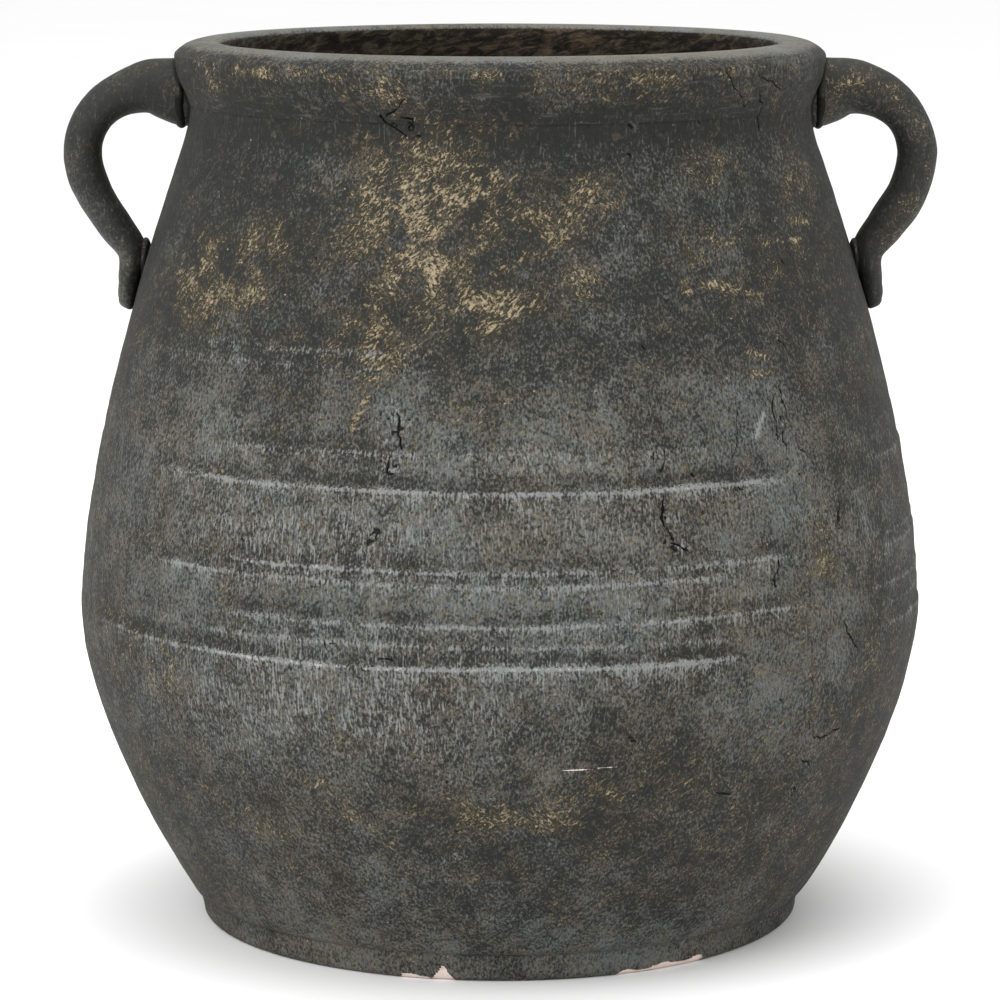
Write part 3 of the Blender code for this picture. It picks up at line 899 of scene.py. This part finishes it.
class ClayPalette(bpy.types.PropertyGroup):
    """Colours of the smoked clay and of the earth rubbed into it"""

    # This black also paints the shade where the handles and lutes meet the pot and in the pockets
    # under the handle roots.
    soot_and_shade: colour_property("Soot", "Deepest black in cracks and pits", (0.006, 0.006, 0.005))
    charcoal: colour_property("Charcoal", "Dark ground of the smoked clay", (0.0168, 0.0183, 0.0166))
    dust_warm: colour_property("Warm dust", "Brownish grey dust on the smoked clay",
                               (0.154, 0.14, 0.107))
    dust_cool: colour_property("Cool dust", "Slate grey dust on the smoked clay",
                               (0.126, 0.142, 0.146))
    pale: colour_property("Pale dust", "Dry brushed dust on crests and belly", (0.212, 0.218, 0.214))
    chalk: colour_property("Chalky dust", "Whitest flecks along the ring crests",
                           (0.42, 0.42, 0.4))
    rust: colour_property("Rust brown", "Brown earth caught in the grain", (0.125, 0.092, 0.06))
    olive: colour_property("Olive brown", "Thin wash of earth under the ochre",
                           (0.046, 0.036, 0.02))
    ochre: colour_property("Ochre", "Earth rubbed into the surface", (0.17, 0.136, 0.082))
    cream: colour_property("Cream", "Brightest flecks of earth", (0.3, 0.245, 0.16))
    inside_dark: colour_property("Inside dark", "Dark ground inside the pot",
                                 (0.0095, 0.0082, 0.0055))
    inside_brown: colour_property("Inside brown", "Brown streaks inside the pot",
                                  (0.12, 0.09, 0.058))
    bare: colour_property("Bare clay", "Clay showing where the foot is chipped",
                          (0.76, 0.64, 0.58))


class PotSizes(bpy.types.PropertyGroup):
    """Sizes a maker would change"""

    handle_coil: FloatProperty(
        name="Handle coil", description="Half thickness added to both handle coils",
        default=0.0, min=-0.002, max=0.002, unit="LENGTH", subtype="DISTANCE")
    ring_relief: share_property("Ring relief", "How far the throwing rings stand out")
    wall_wander: share_property("Wall wander", "How far the wall strays from true round")
    crack_depth: share_property("Crack depth", "How deep cracks, pits and torn spots go")
    ochre_cover: share_property("Ochre cover", "How much ochre earth is rubbed into the wall")


class PieceOperator:
    """What every piece operator shares"""

    bl_options = {"REGISTER", "UNDO"}

    def execute(self, context):
        """Make the pieces; an empty one is an error."""
        pieces = self.build(context.scene.pot_sizes, context.scene.clay_palette)
        if not all(len(piece.data.polygons) for piece in pieces):
            raise RuntimeError(self.bl_label + ": a piece came out empty")
        return {"FINISHED"}


class POT_OT_base_slab(PieceOperator, bpy.types.Operator):
    """Make the rolled floor slab and its foot edge"""

    bl_idname = "pot.base_slab"
    bl_label = "Base Slab"

    def build(self, sizes, palette):
        outline = [(0.0, SLAB_TOP)]
        outline += [(radius, SLAB_TOP) for radius in even_rows(0.004, 0.1, 0.004)]
        outline += [(SLAB_EDGE_RADIUS, SLAB_TOP)]
        outline += FOOT_EDGE
        outline += [(radius, 0.0) for radius in reversed(even_rows(0.004, 0.098, 0.004))]
        outline += [(0.0, 0.0)]
        bm = spun(outline, closed=False)
        crowd_columns(bm)
        finish = wall_finish("base_slab_clay", palette)
        return [turned_piece("base_slab_clay", bm, finish, "base_slab", sizes)]


class POT_OT_wall_rings(PieceOperator, bpy.types.Operator):
    """Raise the three rings of wall, one on the other"""

    bl_idname = "pot.wall_rings"
    bl_label = "Wall Rings"

    def build(self, sizes, palette):
        lower = wall_ring("lower_wall", SLAB_TOP, LOWER_JOINT, 0.0, palette, sizes, FOOT_INSET)
        belly = wall_ring("belly_wall", LOWER_JOINT, UPPER_JOINT, SCARF_RISE, palette, sizes)
        shoulder = wall_ring("shoulder_wall", UPPER_JOINT, NECK_HEIGHT, SCARF_RISE, palette, sizes)
        return [lower, belly, shoulder]


class POT_OT_rim_collar(PieceOperator, bpy.types.Operator):
    """Turn the thick collar over the neck"""

    bl_idname = "pot.rim_collar"
    bl_label = "Rim Collar"

    def build(self, sizes, palette):
        outside = smooth_path([(r, z, 0.0) for r, z in COLLAR_OUTSIDE], 8)
        inside = smooth_path([(r, z, 0.0) for r, z in COLLAR_INSIDE], 6)
        land = [(radius, MOUTH_HEIGHT) for radius in reversed(even_rows(*LIP_LAND, LIP_ROW))]
        outline = [(r, z) for r, z, _ in outside] + land + [(r, z) for r, z, _ in inside]
        bm = spun(list(reversed(outline)), closed=True)
        crowd_columns(bm)
        refine_near_damage(bm)
        finish = collar_finish("rim_collar_clay", palette)
        return [turned_piece("rim_collar_ring", bm, finish, "rim_collar", sizes)]


def handle_frames(side, grow):
    """Placing matrices along the pulled coil, from the collar to the tail tip."""
    centres = smooth_path([(out, up, 0.0) for (out, up), _ in HANDLE_PLAN], 14)
    sizes = smooth_path([(thick + grow, wide, 0.0) for _, (thick, wide) in HANDLE_PLAN], 14)
    last = len(centres) - 1
    frames = []
    for index, centre in enumerate(centres):
        along = (centres[min(index + 1, last)] - centres[max(index - 1, 0)]).normalized()
        out = Vector((-along.y, along.x, 0.0))
        frames.append((centre, along, out, sizes[index]))
    centre, along, out, size = frames[-1]
    for turn in range(1, 8):
        angle = math.radians(turn * 12.0)
        tip = centre + along * (TAIL_TIP * math.sin(angle))
        frames.append((tip, along, out, size * math.cos(angle)))
    return [handle_matrix(side, *frame_parts) for frame_parts in frames]


def handle_matrix(side, centre, along, out, size):
    """Unit circle to one oval section: x across the coil's thickness, y across its width."""
    thick = Vector((side * out.x, 0.0, out.y)) * size.x
    wide = Vector((0.0, 1.0, 0.0)) * size.y
    onward = Vector((side * along.x, 0.0, along.y)) * 0.001
    matrix = Matrix((thick, wide, onward)).transposed().to_4x4()
    matrix.translation = Vector((side * centre.x, 0.0, centre.y))
    return matrix


def pulled_coil(side, grow):
    """Sweep the coil by extruding a circle from section to section."""
    bm = bmesh.new()
    frames = handle_frames(side, grow)
    bmesh.ops.create_circle(bm, cap_ends=False, segments=72, radius=1.0)
    bmesh.ops.transform(bm, matrix=frames[0], verts=bm.verts)
    edges = list(bm.edges)
    bmesh.ops.edgeloop_fill(bm, edges=edges)
    for before, after in zip(frames, frames[1:]):
        made = bmesh.ops.extrude_edge_only(bm, edges=edges)["geom"]
        verts = [item for item in made if isinstance(item, bmesh.types.BMVert)]
        edges = [item for item in made if isinstance(item, bmesh.types.BMEdge) and item.is_boundary]
        bmesh.ops.transform(bm, matrix=after @ before.inverted(), verts=verts)
    bmesh.ops.edgeloop_fill(bm, edges=edges)
    bmesh.ops.recalc_face_normals(bm, faces=bm.faces)
    return bm


def hug_pot(points, sink):
    """Keep points from going into the pot: push them out to just under its skin."""
    radius = np.hypot(points[:, 0], points[:, 1])
    least = skin_radius(points[:, 2]) - sink
    lift = np.maximum(radius, least) / np.maximum(radius, 1e-6)
    return points * np.stack((lift, lift, np.ones(len(lift))), axis=1)


def shape_handle(mesh):
    """Lumps of the pulling hand, a thumb groove down the tail and a seat on the pot."""
    points = mesh_points(mesh)
    normals = np.array([vertex.normal[:] for vertex in mesh.vertices])
    lumps = lumps_of(points, (0.00038, 0.016, 51), (0.00016, 0.006, 52), (0.00006, 0.0022, 53))
    outward = np.abs(points[:, 0])
    thumbed = smooth_step(0.232, 0.222, points[:, 2]) * smooth_step(0.126, 0.128, outward)
    groove = 0.0009 * thumbed * np.exp(-(points[:, 1] / 0.0042) ** 2)
    moved = hug_pot(points + normals * (lumps - groove)[:, None], 0.0003)
    mesh.vertices.foreach_set("co", moved.ravel())
    skin = np.hypot(points[:, 0], points[:, 1]) - skin_radius(points[:, 2])
    # Painted shade where the coil sits on the pot.
    note(mesh, "crevice", smooth_step(0.0016, 0.0002, skin) * 0.9)
    facing_out = normals[:, 0] * np.sign(points[:, 0])
    ridge = np.exp(-((facing_out + 0.6 * normals[:, 2] - 0.32) / 0.4) ** 2)
    ridge *= smooth_step(0.225, 0.25, points[:, 2])
    right = points[:, 0] > 0.0
    note(mesh, "ochre", 0.12 + 0.6 * ridge * right * (0.6 + 0.4 * drift(points, 0.012, 55)))
    tail = smooth_step(0.234, 0.224, points[:, 2])
    # Painted light and shade: tops darker, outer faces lighter, the right tail darker and the left
    # lighter, the top of the left handle darker; the faces turned to the pot darker, partly paint
    # and partly painted shade.
    tone = 0.12 + 0.2 * drift(points, 0.018, 54) + 0.14 * facing_out - 0.46 * normals[:, 2]
    tone += tail * np.where(right, -0.5, 0.34)
    tone -= 0.3 * ~right * smooth_step(0.264, 0.276, points[:, 2])
    tone -= 0.36 * smooth_step(-0.1, -0.8, facing_out)
    note(mesh, "tone", tone)
    mesh.update()


class POT_OT_handles(PieceOperator, bpy.types.Operator):
    """Pull the two coil handles and set them on the collar and shoulder"""

    bl_idname = "pot.handles"
    bl_label = "Handles"

    def build(self, sizes, palette):
        pieces = []
        for side_name, side, extra in (("left", -1, 0.0), ("right", 1, 0.0004)):
            finish = handle_finish("handle_clay_" + side_name, palette)
            bm = pulled_coil(side, extra + sizes.handle_coil)
            pieces.append(piece_from("handle_coil_" + side_name, bm, finish, "handle_" + side_name,
                                     shape_handle))
        return pieces


def shape_lute(mesh):
    """Press a wad of luting clay against the pot, with painted shade round its joint and a painted
    shadow in the pocket under the collar.
    """
    points = mesh_points(mesh)
    normals = np.array([vertex.normal[:] for vertex in mesh.vertices])
    lumps = lumps_of(points, (0.0005, 0.007, 71), (0.0002, 0.0025, 72))
    moved = hug_pot(points + normals * lumps[:, None], 0.0003)
    mesh.vertices.foreach_set("co", moved.ravel())
    skin = np.hypot(moved[:, 0], moved[:, 1]) - skin_radius(moved[:, 2])
    shaded_pocket = smooth_step(0.284, 0.279, moved[:, 2]) * (moved[:, 2] > 0.26)
    note(mesh, "crevice", np.maximum(smooth_step(0.0022, 0.0004, skin) * 0.8, shaded_pocket))
    note(mesh, "ochre", np.full(len(points), 0.25))
    # The root wads, under the collar, are painted darker as shade.
    note(mesh, "tone", np.where(points[:, 2] > 0.26, 0.18, 0.45))
    mesh.update()


def lute_wad(name, side, centre, half, finish, node):
    """One egg of soft clay, before it is pressed on."""
    bm = bmesh.new()
    bmesh.ops.create_uvsphere(bm, u_segments=72, v_segments=44, radius=1.0)
    bmesh.ops.scale(bm, vec=half, verts=bm.verts)
    bmesh.ops.translate(bm, vec=(side * centre[0], 0.0, centre[1]), verts=bm.verts)
    return piece_from(name, bm, finish, node, shape_lute)


class POT_OT_lutes(PieceOperator, bpy.types.Operator):
    """Press soft clay round the roots and behind the tails of the handles"""

    bl_idname = "pot.lutes"
    bl_label = "Luting Clay"

    def build(self, sizes, palette):
        pieces = []
        for side_name, side in (("left", -1), ("right", 1)):
            for part, centre, half in (("root", ROOT_LUTE_CENTRE, ROOT_LUTE_HALF),
                                       ("tail", TAIL_LUTE_CENTRE, TAIL_LUTE_HALF)):
                node = part + "_lute_" + side_name
                finish = lute_finish(node + "_clay", palette)
                pieces.append(lute_wad(node + "_wad", side, centre, half, finish, node))
        return pieces


class POT_OT_studio(bpy.types.Operator):
    """Set the pot on a pale floor under soft light, seen from just above the rim"""

    bl_idname = "pot.studio"
    bl_label = "Studio"
    bl_options = {"REGISTER", "UNDO"}

    def execute(self, context):
        scene = context.scene
        scene.view_settings.view_transform = "Standard"
        make_floor(scene)
        make_world(scene)
        for lamp in LAMPS:
            soft_light(scene, *lamp)
        make_camera(scene)
        return {"FINISHED"}


def make_floor(scene):
    """Lay the pale matt floor."""
    clear_piece("floor")
    bm = bmesh.new()
    bmesh.ops.create_grid(bm, x_segments=1, y_segments=1, size=FLOOR_HALF)
    mesh = bpy.data.meshes.new("floor")
    bm.to_mesh(mesh)
    bm.free()
    finish = Finish("pale_floor")
    speckle = finish.noise(finish.place, 3.0, 2.0)
    colour = finish.mix(speckle, *FLOOR_SHADES)
    mesh.materials.append(finish.finished(colour, 0.9, finish.bump(speckle, 0.0001), 0.1))
    floor = bpy.data.objects.new("floor", mesh)
    scene.collection.objects.link(floor)


def make_world(scene):
    """Even daylight from all round."""
    world = bpy.data.worlds.new("studio_world")
    world.use_nodes = True
    background = world.node_tree.nodes["Background"]
    background.inputs["Color"].default_value = (1.0, 1.0, 1.0, 1.0)
    background.inputs["Strength"].default_value = DAYLIGHT
    scene.world = world


def soft_light(scene, name, place, size, power):
    """Hang one round soft lamp, turned to the pot."""
    clear_piece(name)
    light = bpy.data.lights.new(name, "AREA")
    light.shape = "DISK"
    light.size = size
    light.energy = power
    lamp = bpy.data.objects.new(name, light)
    aim = LAMP_AIM - Vector(place)
    lamp.location = place
    lamp.rotation_euler = aim.to_track_quat("-Z", "Y").to_euler()
    scene.collection.objects.link(lamp)


def make_camera(scene):
    """Stand a long lens just above the rim, aimed at the belly."""
    clear_piece("pot_camera")
    lens = bpy.data.cameras.new("pot_camera")
    lens.lens = CAMERA_LENS
    lens.sensor_width = 36.0
    camera = bpy.data.objects.new("pot_camera", lens)
    camera.location = CAMERA_PLACE
    aim = CAMERA_AIM - camera.location
    camera.rotation_euler = aim.to_track_quat("-Z", "Y").to_euler()
    scene.collection.objects.link(camera)
    scene.camera = camera


class POT_PT_maker(bpy.types.Panel):
    """Lists the pot's pieces in the order they are made"""

    bl_idname = "POT_PT_maker"
    bl_label = "Black Clay Pot"
    bl_space_type = "VIEW_3D"
    bl_region_type = "UI"
    bl_category = "Clay Pot"

    def draw(self, context):
        column = self.layout.column()
        for maker in PIECE_MAKERS:
            column.operator(maker.bl_idname)
        column.separator()
        for size in PotSizes.__annotations__:
            column.prop(context.scene.pot_sizes, size)
        for colour in ClayPalette.__annotations__:
            column.prop(context.scene.clay_palette, colour)


PIECE_MAKERS = (POT_OT_base_slab, POT_OT_wall_rings, POT_OT_rim_collar, POT_OT_handles,
                POT_OT_lutes, POT_OT_studio)
CLASSES = (ClayPalette, PotSizes) + PIECE_MAKERS + (POT_PT_maker,)


def register():
    for cls in CLASSES:
        bpy.utils.register_class(cls)
    bpy.types.Scene.pot_sizes = PointerProperty(type=PotSizes)
    bpy.types.Scene.clay_palette = PointerProperty(type=ClayPalette)


def unregister():
    del bpy.types.Scene.clay_palette
    del bpy.types.Scene.pot_sizes
    for cls in reversed(CLASSES):
        bpy.utils.unregister_class(cls)


def main():
    register()
    bpy.ops.pot.base_slab()
    bpy.ops.pot.wall_rings()
    bpy.ops.pot.rim_collar()
    bpy.ops.pot.handles()
    bpy.ops.pot.lutes()
    bpy.ops.pot.studio()


if __name__ == "__main__":
    main()
